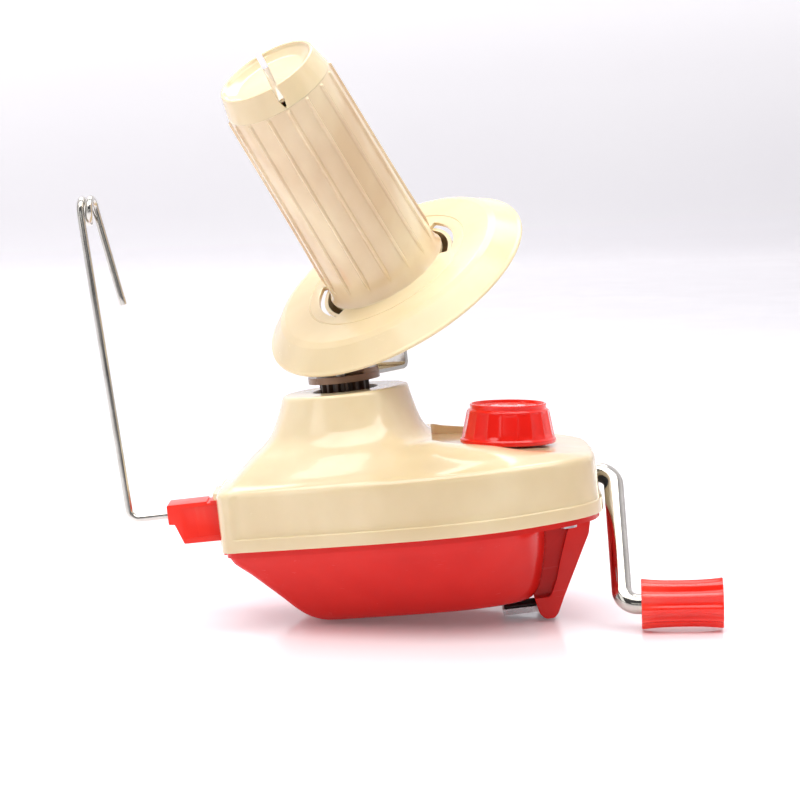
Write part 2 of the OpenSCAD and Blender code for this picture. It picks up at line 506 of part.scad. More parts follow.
// ---- yarn guide ----
module guide_arm() color(red) difference() {
    union() {
        intersection() {
            translate([0, 9, 0]) rotate([90, 0, 0]) linear_extrude(18)
                polygon([[-76, 52.4], [-76, 44.6], [-73.6, 44.4], [-70.6, 36.4], [-46, 36], [-46, 52.3]]);
            union() {
                translate([-90, -9, 30]) cube([90 + pivot_x, 18, 30]);
                translate([pivot_x, 0, 30]) cylinder(r = 9, h = 30);
            }
        }
    }
    translate([pivot_x, 0, 30]) cylinder(r = pivot_r + 0.05, h = 30, $fn = 32);
    // small notch in the top face
    translate([-59.6, -10, 51.7]) cube([1, 20, 2]);
    // socket for the wire
    translate([-80, 0, 47.6]) rotate([0, 90, 0]) cylinder(r = wire_d / 2, h = 16, $fn = 24);
}
// centre line of the wire: foot, bend, upright, pigtail eye of one and a half turns, and tail
eye_r = 4.75;
eye_cz = eye_z - wire_d / 2 - eye_r;
wire_pts = concat([[-64.5, 0, 47.6], [-86, 0, 47.6]],
    [for (a = [0 : 15 : 75]) [-88 - 4 * sin(a), 0, 51.6 - 4 * cos(a)]],
    [[-91.95, 0, 52.6], [-95.2, 0, 138], [-96.3, 0, eye_cz - 4]],
    [for (a = [0 : 15 : 540]) [-96.5 + 3.5 * a / 360, eye_r - eye_r * cos(a), eye_cz + eye_r * sin(a)]],
    [[-90.6, 2 * eye_r, eye_cz - 4], [-85, 2 * eye_r, 133]]);
function unit(v) = v / norm(v);
function tang(i) = unit(wire_pts[min(i + 1, len(wire_pts) - 1)] - wire_pts[max(i - 1, 0)]);
module guide_wire() color(steel) {
    rings([for (i = [0 : len(wire_pts) - 1]) let (t = tang(i),
        e1 = i < 10 ? [0, 1, 0] : unit(cross(t, [1, 0, 0])), e2 = cross(t, e1))
        [for (k = [0 : 15]) wire_pts[i] + wire_d / 2 * (cos(-k * 22.5) * e1 + sin(-k * 22.5) * e2)]]);
}

// ---- list ----

lower_housing();
upper_cover();
cover_screw_1();
cover_screw_2();
cover_screw_3();
cover_screw_4();
center_post();
thrust_washer();
sun_gear();
post_clip();
bearing_block();
crank_bush();
guide_pivot_pin();
crank_arm();
drive_gear();
gear_pin();
crank_collar();
crank_grip();
grip_retainer();
spindle_pinion();
rotor_disc();
rotor_cap();
rotor_screw_1();
rotor_screw_2();
spindle_bracket();
tilt_axle();
axle_clip();
flange_disc();
cone_sleeve();
cone_cap();
ring_gear();
clamp_knob();
knob_disc();
clamp_screw();
clamp_washer();
screw_collar();
screw_clip();
clamp_jaw();
jaw_nut();
jaw_pad();
guide_arm();
guide_wire();
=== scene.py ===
import bpy, bmesh, math
import numpy as np
from mathutils import Vector, Matrix

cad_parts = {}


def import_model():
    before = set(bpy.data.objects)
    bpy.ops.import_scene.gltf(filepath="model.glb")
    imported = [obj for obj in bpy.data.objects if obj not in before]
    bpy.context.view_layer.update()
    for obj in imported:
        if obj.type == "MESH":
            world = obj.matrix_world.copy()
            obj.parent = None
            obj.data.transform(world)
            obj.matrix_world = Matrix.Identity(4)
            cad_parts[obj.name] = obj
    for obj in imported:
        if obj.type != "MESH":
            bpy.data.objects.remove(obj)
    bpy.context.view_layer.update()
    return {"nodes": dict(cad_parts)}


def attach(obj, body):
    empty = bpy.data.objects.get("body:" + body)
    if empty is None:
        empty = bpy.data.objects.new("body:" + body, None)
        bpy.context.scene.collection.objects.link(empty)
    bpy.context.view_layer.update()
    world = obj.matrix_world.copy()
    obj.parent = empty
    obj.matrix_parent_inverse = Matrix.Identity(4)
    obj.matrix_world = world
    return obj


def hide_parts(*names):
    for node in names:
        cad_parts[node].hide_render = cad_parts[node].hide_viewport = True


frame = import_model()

sc = bpy.context.scene
NODES = frame["nodes"]
MM = 0.001

# ------------------------------------------------------------------ camera
roll = math.radians(6.6)
up = Vector((math.sin(roll), 0, math.cos(roll)))
right = Vector((math.cos(roll), 0, -math.sin(roll)))
el = math.radians(5.4)
view = (Vector((0, 1, 0)) * math.cos(el) - up * math.sin(el)).normalized()
camup = (up * math.cos(el) + Vector((0, 1, 0)) * math.sin(el)).normalized()
target = Vector((0.0212, 0, 0.083))
cam_d = bpy.data.cameras.new("cam")
cam = bpy.data.objects.new("cam", cam_d)
sc.collection.objects.link(cam)
cam_d.sensor_width = 36
cam_d.lens = 36 * 2800 / 800
cam_d.clip_start = 0.05
cam_d.clip_end = 30
m = Matrix((right, camup, -view)).transposed().to_4x4()
m.translation = target - view * 1.12
cam.matrix_world = m
sc.camera = cam
sc.view_settings.view_transform = "Standard"
sc.view_settings.look = "None"


# ------------------------------------------------------------------ frames
def T(x, y, z):
    a = np.eye(4)
    a[:3, 3] = (x, y, z)
    return a


def R(ax, deg):
    c, s = math.cos(math.radians(deg)), math.sin(math.radians(deg))
    a = np.eye(4)
    i, j = {"x": (1, 2), "y": (2, 0), "z": (0, 1)}[ax]
    a[i, i] = c
    a[j, j] = c
    a[i, j] = -s
    a[j, i] = s
    return a


M_cone = T(0, 0, 183) @ R("z", 225) @ R("y", 32)
M_strap = R("z", 45)
M_clamp = T(62, -9, 61.5) @ R("y", 6)
ARM_R = math.hypot(40, 47.4)
PHI = math.degrees(math.atan2(40, 47.4))
M_crank = T(0, 0, 45) @ R("x", -PHI)


def xf(V, M):
    V = np.asarray(V, float)
    return V @ M[:3, :3].T + M[:3, 3]


# ------------------------------------------------------------------ curves
class PC:
    """smooth monotone curve through a short table of points"""

    def __init__(s, pts):
        x = np.array([p[0] for p in pts], float)
        y = np.array([p[1] for p in pts], float)
        h = np.diff(x)
        d = np.diff(y) / h
        g = np.zeros(len(x))
        for i in range(1, len(x) - 1):
            if d[i - 1] * d[i] > 0:
                w1 = 2 * h[i] + h[i - 1]
                w2 = h[i] + 2 * h[i - 1]
                g[i] = (w1 + w2) / (w1 / d[i - 1] + w2 / d[i])
        g[0], g[-1] = d[0], d[-1]
        s.x, s.y, s.g, s.h = x, y, g, h

    def __call__(s, v):
        v = np.clip(np.asarray(v, float), s.x[0], s.x[-1])
        i = np.clip(np.searchsorted(s.x, v, side="right") - 1, 0, len(s.x) - 2)
        h = s.h[i]
        t = (v - s.x[i]) / h
        return ((2 * t ** 3 - 3 * t ** 2 + 1) * s.y[i] + (t ** 3 - 2 * t ** 2 + t) * h * s.g[i]
                + (-2 * t ** 3 + 3 * t ** 2) * s.y[i + 1] + (t ** 3 - t ** 2) * h * s.g[i + 1])


def loop(half, sub):
    full = [(p[0], -p[1]) for p in half] + [tuple(p) for p in half[-2:0:-1]]
    full = np.array(full, float)
    n = len(full)
    out = []
    for i in range(n):
        a, b, c, d = full[i - 1], full[i], full[(i + 1) % n], full[(i + 2) % n]
        for k in range(sub):
            u = k / sub
            out.append(0.5 * (2 * b + (c - a) * u + (2 * a - 5 * b + 4 * c - d) * u * u + (3 * b - a - 3 * c + d) * u ** 3))
    return np.array(out)


def smooth(a, b, x):
    t = np.clip((np.asarray(x, float) - a) / (b - a), 0, 1)
    return t * t * (3 - 2 * t)


def rp(pts, r=0.5, seg=4, closed=True):
    """a polygon or polyline with rounded corners; a point may carry its own radius"""
    n = len(pts)
    out = []
    for i, p in enumerate(pts):
        rad = p[2] if len(p) > 2 else r
        P = np.array(p[:2], float)
        if (not closed and i in (0, n - 1)) or rad <= 0:
            out.append(P)
            continue
        u = np.array(pts[i - 1][:2], float) - P
        v = np.array(pts[(i + 1) % n][:2], float) - P
        lu, lv = np.linalg.norm(u), np.linalg.norm(v)
        u, v = u / lu, v / lv
        ang = math.acos(float(np.clip(u @ v, -1, 1)))
        if ang > math.pi - 0.04 or ang < 0.02:
            out.append(P)
            continue
        d = min(rad / math.tan(ang / 2), lu * 0.49, lv * 0.49)
        rr = d * math.tan(ang / 2)
        C = P + (u + v) / np.linalg.norm(u + v) * (rr / math.sin(ang / 2))
        s0, s1 = P + u * d - C, P + v * d - C
        w = math.pi - ang
        for k in range(seg + 1):
            t = k / seg
            out.append(C + (math.sin((1 - t) * w) * s0 + math.sin(t * w) * s1) / math.sin(w))
    return [tuple(q) for q in out]


# ------------------------------------------------------------------ mesh helpers
def grid(P, cu=False, cv=True, cap0=False, cap1=False):
    P = np.asarray(P, float)
    n, k = P.shape[:2]
    F = []
    for i in range(n if cu else n - 1):
        a, b = i * k, ((i + 1) % n) * k
        for j in range(k if cv else k - 1):
            q = (j + 1) % k
            F.append((a + j, a + q, b + q, b + j))
    if cap0:
        F.append(tuple(range(k - 1, -1, -1)))
    if cap1:
        F.append(tuple((n - 1) * k + j for j in range(k)))
    return P.reshape(-1, 3), F


def lathe(prof, n=128, closed=True):
    a = np.linspace(0, 2 * math.pi, n, endpoint=False)
    P = np.array([[(r * math.cos(t), r * math.sin(t), z) for t in a] for r, z in prof])
    return grid(P, cu=closed)


def prism(poly, z0, z1):
    k = len(poly)
    V = [(x, y, z0) for x, y in poly] + [(x, y, z1) for x, y in poly]
    F = [tuple(range(k - 1, -1, -1)), tuple(range(k, 2 * k))]
    F += [(i, (i + 1) % k, k + (i + 1) % k, k + i) for i in range(k)]
    return np.array(V, float), F


def join(*parts):
    V, F, n = [], [], 0
    for v, f in parts:
        V.append(np.asarray(v, float))
        F += [tuple(i + n for i in q) for q in f]
        n += len(v)
    return np.concatenate(V), F


def obj(name, V, F, M=None, doubles=2e-6):
    V = np.asarray(V, float)
    if M is not None:
        V = xf(V, M)
    me = bpy.data.meshes.new(name)
    me.from_pydata((V * MM).tolist(), [], F)
    bm = bmesh.new()
    bm.from_mesh(me)
    bmesh.ops.remove_doubles(bm, verts=bm.verts, dist=doubles)
    bmesh.ops.dissolve_degenerate(bm, edges=bm.edges, dist=1e-6)
    bmesh.ops.recalc_face_normals(bm, faces=bm.faces)
    bm.to_mesh(me)
    bm.free()
    o = bpy.data.objects.new(name, me)
    sc.collection.objects.link(o)
    return o


def apply(o):
    dg = bpy.context.evaluated_depsgraph_get()
    me = bpy.data.meshes.new_from_object(o.evaluated_get(dg), depsgraph=dg)
    o.modifiers.clear()
    old = o.data
    o.data = me
    bpy.data.meshes.remove(old)
    return o


def boolean(o, cutter, op="DIFFERENCE", solver="EXACT"):
    b = o.modifiers.new("bool", "BOOLEAN")
    b.operation = op
    b.solver = solver
    b.object = cutter
    bpy.context.view_layer.update()
    apply(o)
    me = cutter.data
    bpy.data.objects.remove(cutter)
    bpy.data.meshes.remove(me)
    return o


def bevel(o, w, seg=3, ang=40):
    b = o.modifiers.new("bev", "BEVEL")
    b.width = w * MM
    b.segments = seg
    b.limit_method = "ANGLE"
    b.angle_limit = math.radians(ang)
    b.use_clamp_overlap = True
    b.miter_outer = "MITER_ARC"
    apply(o)
    return o


def shade(o, sharp=32, wn=False):
    me = o.data
    me.polygons.foreach_set("use_smooth", [True] * len(me.polygons))
    me.set_sharp_from_angle(angle=math.radians(sharp))
    if wn:
        w = o.modifiers.new("wn", "WEIGHTED_NORMAL")
        w.keep_sharp = True
        w.weight = 80
        apply(o)
    me = o.data
    me.update()


def piece(o, mat, body, nodes=(), sharp=32, wn=False):
    shade(o, sharp, wn)
    o.data.materials.clear()
    o.data.materials.append(mat)
    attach(o, body)
    if nodes:
        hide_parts(*([nodes] if isinstance(nodes, str) else nodes))
    return o


def refined(node, name, mat, body, w=0.3, seg=3, ang=35, sharp=40):
    """the node's own shape with its moulded or rolled edges rounded"""
    src = NODES[node]
    me = src.data.copy()
    me.name = name
    bm = bmesh.new()
    bm.from_mesh(me)
    bmesh.ops.remove_doubles(bm, verts=bm.verts, dist=2e-6)
    bmesh.ops.dissolve_limit(bm, angle_limit=math.radians(0.5), verts=bm.verts, edges=bm.edges)
    bmesh.ops.recalc_face_normals(bm, faces=bm.faces)
    bm.to_mesh(me)
    bm.free()
    o = bpy.data.objects.new(name, me)
    sc.collection.objects.link(o)
    bevel(o, w, seg, ang)
    return piece(o, mat, body, node, sharp, wn=True)


def sweep(path, rad, n=32, up0=(0, 1, 0), ends=0.0):
    """round bar along a 3-D path, its ends chamfered by ends"""
    P = [np.array(p, float) for p in path]
    Tn = []
    for i in range(len(P)):
        t = P[min(i + 1, len(P) - 1)] - P[max(i - 1, 0)]
        Tn.append(t / np.linalg.norm(t))
    e = np.array(up0, float)
    rows = []
    for i, p in enumerate(P):
        e = e - Tn[i] * (e @ Tn[i])
        e = e / np.linalg.norm(e)
        f = np.cross(Tn[i], e)
        rows.append((p, e, f))
    out = []

    def ring(p, e_, f_, r):
        return [p + r * (math.cos(a) * e_ + math.sin(a) * f_) for a in np.linspace(0, 2 * math.pi, n, endpoint=False)]

    if ends > 0:
        p, e_, f_ = rows[0]
        out.append(ring(p, e_, f_, rad - ends))
        out.append(ring(p + Tn[0] * ends * 0.35, e_, f_, rad - ends * 0.3))
        rows[0] = (p + Tn[0] * ends, e_, f_)
    last = None
    if ends > 0:
        p, e_, f_ = rows[-1]
        last = [ring(p - Tn[-1] * ends * 0.35, e_, f_, rad - ends * 0.3), ring(p, e_, f_, rad - ends)]
        rows[-1] = (p - Tn[-1] * ends, e_, f_)
    for p, e_, f_ in rows:
        out.append(ring(p, e_, f_, rad))
    if last:
        out += last
    return grid(np.array(out), cap0=True, cap1=True)


# ------------------------------------------------------------------ materials
def new_mat(name):
    mt = bpy.data.materials.new(name)
    mt.use_nodes = True
    nt = mt.node_tree
    return mt, nt, nt.nodes["Principled BSDF"]


def add(nt, kind, **kw):
    n = nt.nodes.new(kind)
    for k, v in kw.items():
        setattr(n, k, v)
    return n


def noise(nt, co, scale, detail=3.0, rough=0.5, mapscale=None):
    n = add(nt, "ShaderNodeTexNoise")
    n.inputs["Scale"].default_value = scale
    n.inputs["Detail"].default_value = detail
    n.inputs["Roughness"].default_value = rough
    if mapscale is not None:
        mp = add(nt, "ShaderNodeMapping")
        mp.inputs["Scale"].default_value = mapscale
        nt.links.new(co, mp.inputs["Vector"])
        co = mp.outputs["Vector"]
    nt.links.new(co, n.inputs["Vector"])
    return n.outputs["Fac"]


def ramp(nt, fac, stops):
    r = add(nt, "ShaderNodeValToRGB")
    while len(r.color_ramp.elements) < len(stops):
        r.color_ramp.elements.new(0.5)
    for e, (p, c) in zip(r.color_ramp.elements, stops):
        e.position = p
        e.color = c if len(c) == 4 else (*c, 1)
    nt.links.new(fac, r.inputs["Fac"])
    return r.outputs["Color"]


def mrange(nt, fac, a, b, c, d):
    n = add(nt, "ShaderNodeMapRange")
    for i, v in zip((1, 2, 3, 4), (a, b, c, d)):
        n.inputs[i].default_value = v
    nt.links.new(fac, n.inputs[0])
    return n.outputs[0]


def mixc(nt, fac, a, b, mode="MIX"):
    n = add(nt, "ShaderNodeMix", data_type="RGBA", blend_type=mode)
    for s, v in ((n.inputs[0], fac), (n.inputs[6], a), (n.inputs[7], b)):
        if isinstance(v, bpy.types.NodeSocket):
            nt.links.new(v, s)
        elif isinstance(v, (int, float)):
            s.default_value = v
        else:
            s.default_value = (*v, 1) if len(v) == 3 else v
    return n.outputs[2]


def math2(nt, op, a, b):
    n = add(nt, "ShaderNodeMath", operation=op)
    for s, v in ((n.inputs[0], a), (n.inputs[1], b)):
        if isinstance(v, bpy.types.NodeSocket):
            nt.links.new(v, s)
        else:
            s.default_value = v
    return n.outputs[0]


def plastic(name, base, dark, light, rough=(0.16, 0.26), coat=0.35, sss=0.0, sss_col=None, peel=0.012, fine=0.004, wear_and_edge_highlight=0.35,
            specks=True, seed=0.0, spec=0.5):
    mt, nt, b = new_mat(name)
    tc = add(nt, "ShaderNodeTexCoord")
    mp = add(nt, "ShaderNodeMapping")
    mp.inputs["Location"].default_value = (seed, seed * 0.7, -seed)
    nt.links.new(tc.outputs["Object"], mp.inputs["Vector"])
    co = mp.outputs["Vector"]
    # moulding flow: broad, soft changes of tone, drawn out along the part
    flow = noise(nt, co, 18, 3, 0.55, (1.0, 1.6, 0.7))
    col = ramp(nt, flow, [(0.30, dark), (0.5, base), (0.72, light)])
    mott = noise(nt, co, 240, 4, 0.6)
    col = mixc(nt, mrange(nt, mott, 0.35, 0.7, 0.0, 0.10), col, dark)
    # edges lightened, partly wear and partly painted highlight; corners and creases darkened as painted shade
    geo = add(nt, "ShaderNodeNewGeometry")
    edge = mrange(nt, geo.outputs["Pointiness"], 0.515, 0.56, 0.0, 1.0)
    edge = math2(nt, "MULTIPLY", edge, mrange(nt, noise(nt, co, 160, 3), 0.4, 0.62, 0.15, 1.0))
    col = mixc(nt, math2(nt, "MULTIPLY", edge, wear_and_edge_highlight), col, light)
    # painted shade: concave corners and creases multiplied toward the dark tone
    painted_crease_shade = mrange(nt, geo.outputs["Pointiness"], 0.485, 0.44, 0.0, 0.30)
    col = mixc(nt, painted_crease_shade, col, dark, "MULTIPLY")
    if specks:
        vo = add(nt, "ShaderNodeTexVoronoi")
        vo.inputs["Scale"].default_value = 260
        nt.links.new(co, vo.inputs["Vector"])
        sp = mrange(nt, vo.outputs["Distance"], 0.045, 0.03, 0.0, 1.0)
        sel = mrange(nt, noise(nt, co, 70, 2), 0.62, 0.66, 0.0, 0.55)
        col = mixc(nt, math2(nt, "MULTIPLY", sp, sel), col, light)
    nt.links.new(col, b.inputs["Base Color"])
    r = noise(nt, co, 45, 5, 0.6)
    scr = noise(nt, co, 900, 2, 0.5, (0.08, 1.0, 1.0))
    rr = math2(nt, "ADD", mrange(nt, r, 0.3, 0.75, rough[0], rough[1]), mrange(nt, scr, 0.62, 0.75, 0.0, 0.07))
    nt.links.new(rr, b.inputs["Roughness"])
    bp1 = add(nt, "ShaderNodeBump")
    bp1.inputs["Strength"].default_value = 0.35
    bp1.inputs["Distance"].default_value = peel * MM
    nt.links.new(noise(nt, co, 140, 2, 0.4), bp1.inputs["Height"])
    bp2 = add(nt, "ShaderNodeBump")
    bp2.inputs["Strength"].default_value = 0.3
    bp2.inputs["Distance"].default_value = fine * MM
    nt.links.new(noise(nt, co, 2600, 3, 0.6), bp2.inputs["Height"])
    nt.links.new(bp1.outputs["Normal"], bp2.inputs["Normal"])
    nt.links.new(bp2.outputs["Normal"], b.inputs["Normal"])
    b.inputs["Coat Weight"].default_value = coat
    b.inputs["Coat Roughness"].default_value = 0.06
    b.inputs["Specular IOR Level"].default_value = spec
    b.inputs["IOR"].default_value = 1.5
    if sss:
        b.inputs["Subsurface Weight"].default_value = sss
        b.inputs["Subsurface Radius"].default_value = sss_col
        b.inputs["Subsurface Scale"].default_value = 0.002
    return mt


def metal(name, base, dark, rough=(0.10, 0.22), streak=(1, 1, 0.05), scale=900, bump=0.004, spots=0.25):
    mt, nt, b = new_mat(name)
    tc = add(nt, "ShaderNodeTexCoord")
    co = tc.outputs["Object"]
    a = noise(nt, co, 60, 5, 0.6)
    col = ramp(nt, a, [(0.3, dark), (0.62, base)])
    tarn = mrange(nt, noise(nt, co, 320, 4, 0.65), 0.58, 0.72, 0.0, spots)
    col = mixc(nt, tarn, col, (dark[0] * 0.6, dark[1] * 0.55, dark[2] * 0.5))
    nt.links.new(col, b.inputs["Base Color"])
    b.inputs["Metallic"].default_value = 1.0
    s = noise(nt, co, scale, 3, 0.6, streak)
    rr = math2(nt, "ADD", mrange(nt, s, 0.3, 0.7, rough[0], rough[1]), math2(nt, "MULTIPLY", tarn, 0.3))
    nt.links.new(rr, b.inputs["Roughness"])
    bp = add(nt, "ShaderNodeBump")
    bp.inputs["Strength"].default_value = 0.4
    bp.inputs["Distance"].default_value = bump * MM
    nt.links.new(s, bp.inputs["Height"])
    nt.links.new(bp.outputs["Normal"], b.inputs["Normal"])
    return mt


cream = plastic("cream_abs", (0.775, 0.625, 0.385), (0.70, 0.545, 0.315), (0.86, 0.73, 0.49), rough=(0.13, 0.22), coat=0.5,
                sss=0.12, sss_col=(1.0, 0.55, 0.25), seed=1.3)
cream_cone = plastic("cream_abs_cone", (0.80, 0.655, 0.405), (0.75, 0.60, 0.36), (0.86, 0.73, 0.48), rough=(0.16, 0.26), coat=0.2,
                     sss=0.14, sss_col=(1.0, 0.6, 0.28), seed=4.1, spec=0.35)
# strong edge lightening here paints highlight lines along the rib crests
cream_sleeve = plastic("cream_abs_sleeve", (0.70, 0.515, 0.315), (0.65, 0.46, 0.27), (0.88, 0.74, 0.50), rough=(0.13, 0.22), coat=0.4,
                       sss=0.10, sss_col=(1.0, 0.6, 0.28), seed=4.6, wear_and_edge_highlight=0.8)
red = plastic("red_abs", (0.72, 0.020, 0.015), (0.64, 0.015, 0.012), (0.78, 0.028, 0.020), rough=(0.18, 0.26), coat=0.12,
              seed=2.2, wear_and_edge_highlight=0.06, spec=0.2, peel=0.005, specks=False)
red_gloss = plastic("red_styrene", (0.95, 0.024, 0.012), (0.84, 0.014, 0.008), (0.98, 0.08, 0.05), rough=(0.10, 0.2), coat=0.45,
                    sss=0.08, sss_col=(1.0, 0.15, 0.08), seed=6.4, wear_and_edge_highlight=0.4, spec=0.3)
red_arm = plastic("red_arm", (0.95, 0.034, 0.018), (0.84, 0.022, 0.012), (0.95, 0.10, 0.07), rough=(0.28, 0.4), coat=0.15,
                  sss=0.06, sss_col=(1.0, 0.15, 0.08), seed=8.8, wear_and_edge_highlight=0.25, spec=0.3)
brown = plastic("brown_acetal", (0.25, 0.135, 0.07), (0.16, 0.08, 0.04), (0.36, 0.22, 0.13), rough=(0.24, 0.36), coat=0.2,
                seed=3.7)
brown_dark = plastic("brown_pinion", (0.10, 0.05, 0.03), (0.055, 0.026, 0.016), (0.17, 0.10, 0.065), rough=(0.28, 0.4), coat=0.1,
                     seed=5.9)
chrome = metal("nickel_plate", (0.64, 0.615, 0.57), (0.50, 0.475, 0.43), rough=(0.07, 0.15), streak=(1, 1, 0.03))
wire_m = metal("nickel_wire", (0.66, 0.64, 0.60), (0.50, 0.48, 0.44), rough=(0.12, 0.22), streak=(1, 1, 0.03))
strap_m = metal("nickel_strap", (0.74, 0.72, 0.68), (0.58, 0.55, 0.50), rough=(0.10, 0.2), streak=(1, 0.05, 1))
zinc = metal("zinc_plate", (0.62, 0.62, 0.63), (0.45, 0.45, 0.47), rough=(0.22, 0.38), streak=(0.3, 1, 1), spots=0.4)
nylon = plastic("black_nylon", (0.03, 0.03, 0.032), (0.018, 0.018, 0.02), (0.07, 0.07, 0.075), rough=(0.4, 0.55), coat=0.0,
                seed=7.7)
rubber = plastic("black_rubber", (0.028, 0.028, 0.028), (0.016, 0.016, 0.016), (0.06, 0.06, 0.06), rough=(0.6, 0.8), coat=0.0,
                 fine=0.02, seed=9.1)

# ------------------------------------------------------------------ cover
cover_half = [[-54.4, 0], [-54.34, 6], [-54.14, 13], [-53.7, 24], [-52.2, 28.6], [-48.5, 31.2], [-34, 36.4], [-14, 43.6],
              [6, 50.2], [26, 55.2], [43, 57], [60, 55.2], [74, 50.2], [85, 44.2], [91.8, 36], [94.6, 25], [95.3, 13],
              [95.46, 6.5], [95.5, 0]]
NECK_R = 24.6
flare = PC([[0, 90], [0.03, 88.8], [0.07, 85.6], [0.164, 79.2], [0.243, 75], [0.356, 71.4], [0.514, 67.8],
            [0.697, 63.2], [0.861, 58.8], [1, 55.8]])
ridge = PC([[-30, 55.8], [-12, 58.5], [4, 63.5], [18, 67], [32, 68.8], [37, 67.6], [44, 66.3], [55, 64.3], [65, 61.8],
            [80, 58.9], [88, 56.9], [94, 54.9], [95.5, 54]])
ridge_y = PC([[-30, 20], [0, 28], [20, 31], [44, 33.5], [80, 36], [90, 27], [95.5, 10]])
crease = PC([[-54, 55.8], [60, 55.6], [95.5, 53.6]])


def smax(a, b, k):
    h = np.maximum(k - np.abs(a - b), 0) / k
    return np.maximum(a, b) + h * h * k / 4


cl = loop(cover_half, 10)
c_ro = np.linalg.norm(cl, axis=1)
c_dir = cl / c_ro[:, None]
half_pts = [p for p in cover_half if -54 < p[0] < 95.5]
width_at = PC(half_pts)


def run_out(az, ro):
    base = 17 + 5 * smooth(0, 55, az)
    return base + (ro - NECK_R - base) * smooth(42, 92, az)


def top_z(x, y, rr, ro):
    wy = np.maximum(np.abs(y), width_at(x))
    az = np.degrees(np.arctan2(np.abs(y), x))
    ln = run_out(az, ro)
    za = flare((rr - NECK_R) / ln)
    zc = crease(x)
    zr = ridge(x)
    yr = ridge_y(x)
    s = np.clip((wy - np.abs(y)) / np.maximum(1, wy - yr), 0, 1)
    zb = zc + (zr - zc) * np.sin(math.pi / 2 * s)
    return np.minimum(90, smax(np.maximum(za, zc), zb, 4.5))


def seat_z(x):
    return 61.5 - math.tan(math.radians(6)) * (x - 62)


strip = smooth(-47.2, -47.9, cl[:, 0]) * smooth(12.0, 14.0, np.abs(cl[:, 1]))
az_all = np.degrees(np.arctan2(np.abs(cl[:, 1]), cl[:, 0]))
ln_all = run_out(az_all, c_ro)
r_start = NECK_R + 0.03 * ln_all


def at(r, z):
    r = np.broadcast_to(r, c_ro.shape)
    z = np.broadcast_to(z, c_ro.shape)
    return np.stack([c_dir[:, 0] * r, c_dir[:, 1] * r, z], axis=1)


rings = []
for r, z in [(13.0, 88.0), (13.0, 89.3), (13.12, 89.72), (13.45, 90.0), (15, 90), (18, 90), (21, 90), (23, 90)]:
    rings.append(at(r, z))
p0 = (np.full_like(c_ro, NECK_R - 1.0), np.full_like(c_ro, 90.0))
p2 = (r_start, flare(np.full_like(c_ro, 0.03)))
p1 = (np.full_like(c_ro, NECK_R + 0.35), np.full_like(c_ro, 90.0))
for t in np.linspace(0, 1, 8):
    r = (1 - t) ** 2 * p0[0] + 2 * t * (1 - t) * p1[0] + t * t * p2[0]
    z = (1 - t) ** 2 * p0[1] + 2 * t * (1 - t) * p1[1] + t * t * p2[1]
    rings.append(at(r, z))
EDGE = 2.6
r_end = c_ro - EDGE
for t in np.linspace(0, 1, 74)[1:] ** 1.35:
    r = r_start + t * (r_end - r_start)
    rings.append(at(r, top_z(c_dir[:, 0] * r, c_dir[:, 1] * r, r, c_ro)))
zA = rings[-1][:, 2]
zE = top_z(cl[:, 0], cl[:, 1], c_ro, c_ro)
for t in np.linspace(0, 1, 9)[1:]:
    r = (1 - t) ** 2 * r_end + 2 * t * (1 - t) * (c_ro + 0.02 + strip) + t * t * (c_ro + 0.1 + strip)
    z = (1 - t) ** 2 * zA + 2 * t * (1 - t) * (zE + 0.05) + t * t * (zE - EDGE)
    rings.append(at(r, z))
zB = zE - EDGE
for t in (0.2, 0.4, 0.6, 0.8):
    rings.append(at(c_ro + 0.1 + 0.2 * t + strip * (1 - 0.1 * t), zB + (38.95 - zB) * t))
for z, g in [(39.0, 0.3), (38.86, 0.34), (38.76, 0.45), (38.70, 0.62), (38.66, 0.84), (38.58, 0.98), (38.42, 1.07), (38.1, 1.12),
             (36.0, 1.16), (34.1, 1.2), (33.8, 1.15), (33.6, 1.0), (33.5, 0.7)]:
    rings.append(at(c_ro + np.maximum(g, 1.08 * strip), z))
rings.append(at(c_ro - 1.4, 33.5))
rings.append(at(c_ro - 2.0, 33.9))
rings.append(at(c_ro - 2.0, 45.0))
rings.append(at(c_ro - 2.0, crease(cl[:, 0]) - 4))
for t in (0.97, 0.93, 0.86, 0.8, 0.72, 0.65, 0.57, 0.5, 0.42, 0.35, 0.28, 0.22, 0.16, 0.12):
    rr = NECK_R + t * (c_ro - NECK_R)
    x, y = c_dir[:, 0] * rr, c_dir[:, 1] * rr
    z = top_z(x, y, rr, c_ro)
    lim = np.where((x > 26) & (np.abs(y) < 36), seat_z(x) - 0.2, 200)
    rings.append(at(rr - 2.0, np.minimum(z, lim) - 2.0))
for r, z in [(NECK_R - 2, 86.4), (NECK_R - 4, 88.0)]:
    rings.append(at(r, z))
V, F = grid(np.array(rings), cu=True)
cover = obj("cover_shell", V, F)

# knob seat
seat_poly = rp([[x - 30.5, y] for x, y in [[0, -22], [4, -22.8], [44, -26], [52, -24], [56, -12], [56, 30], [52, 42],
                                          [44, 44], [4, 40.8], [0, 40]]], 6, 8)
V, F = prism(seat_poly, 0, 30)
cut = obj("cut_seat", V, F, M_clamp)
V, F = prism([(32 * math.cos(a), 32 * math.sin(a)) for a in np.linspace(0, 2 * math.pi, 160, endpoint=False)], 30, 120)
boolean(cut, obj("cut_neck", V, F))
boolean(cover, cut)
# yarn guide pocket
V, F = prism([(-70, -13), (-45, -13), (-45, 13), (-70, 13)], 30, 52.7)
boolean(cover, obj("cut_pocket", V, F))
# crank bush hole
V, F = prism([(7.02 * math.cos(a), 7.02 * math.sin(a)) for a in np.linspace(0, 2 * math.pi, 64, endpoint=False)], 85, 110)
boolean(cover, obj("cut_bush", V, F, T(0, 0, 45) @ R("y", 90)))
